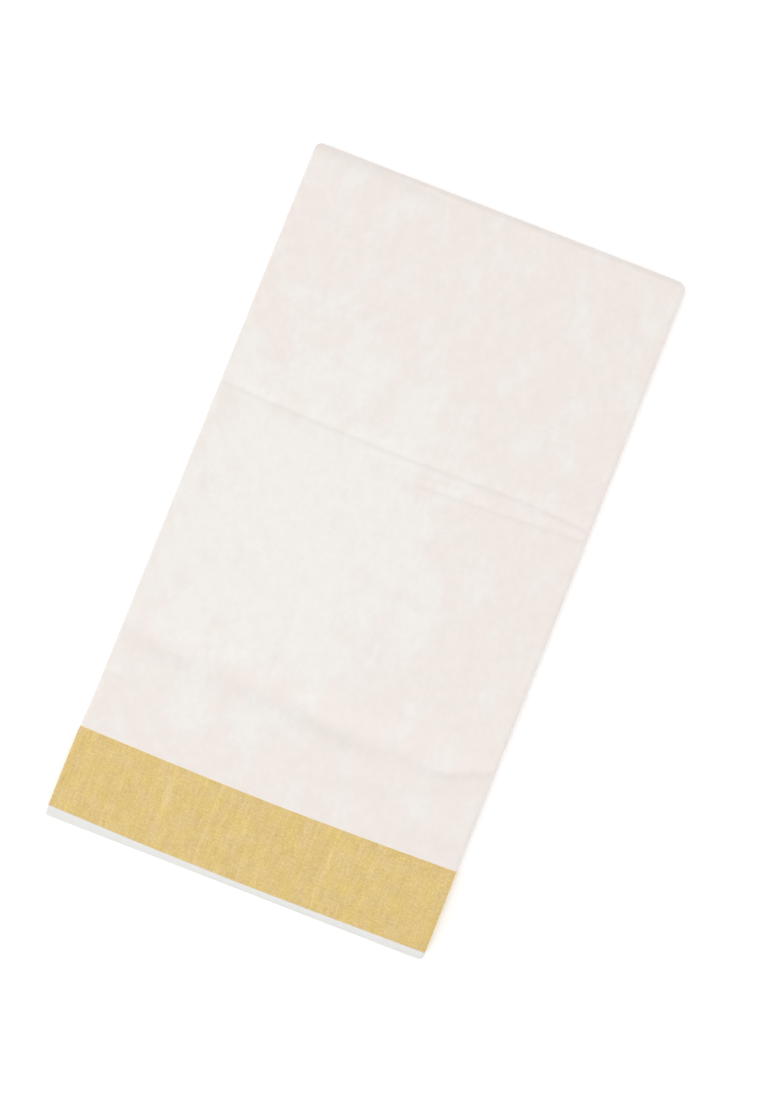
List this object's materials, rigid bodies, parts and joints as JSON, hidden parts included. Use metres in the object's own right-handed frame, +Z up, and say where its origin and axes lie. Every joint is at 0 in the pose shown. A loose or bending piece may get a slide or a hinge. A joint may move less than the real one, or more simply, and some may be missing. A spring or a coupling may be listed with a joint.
{
  "type": "folded cotton saree",
  "caption": "Plain cotton saree folded to a flat rectangular packet, with a woven gold border and plain selvedge at one end.",
  "frame": {"origin": "middle of the packet's box, on the surface that it rests on", "axes": "+Z up out of the packet's face, +Y towards the end where the cloth turns over, -Y towards the woven borders, +X across the packet towards its single round folds"},
  "size_m": [0.3326, 0.6028, 0.0122],
  "materials": {
    "field": "plain-woven cotton, matte, slightly translucent cream",
    "border": "gold thread woven with cream cotton, a soft sheen",
    "selvedge": "plain-woven cotton, matte, slightly denser than the field"
  },
  "bodies": {
    "root": {"top_panel": "field", "top_border": "border", "top_selvedge": "selvedge", "end_fold": "field", "bottom_panel": "field", "bottom_border": "border", "bottom_selvedge": "selvedge", "hidden_layers": "field"}
  },
  "joints": []
}
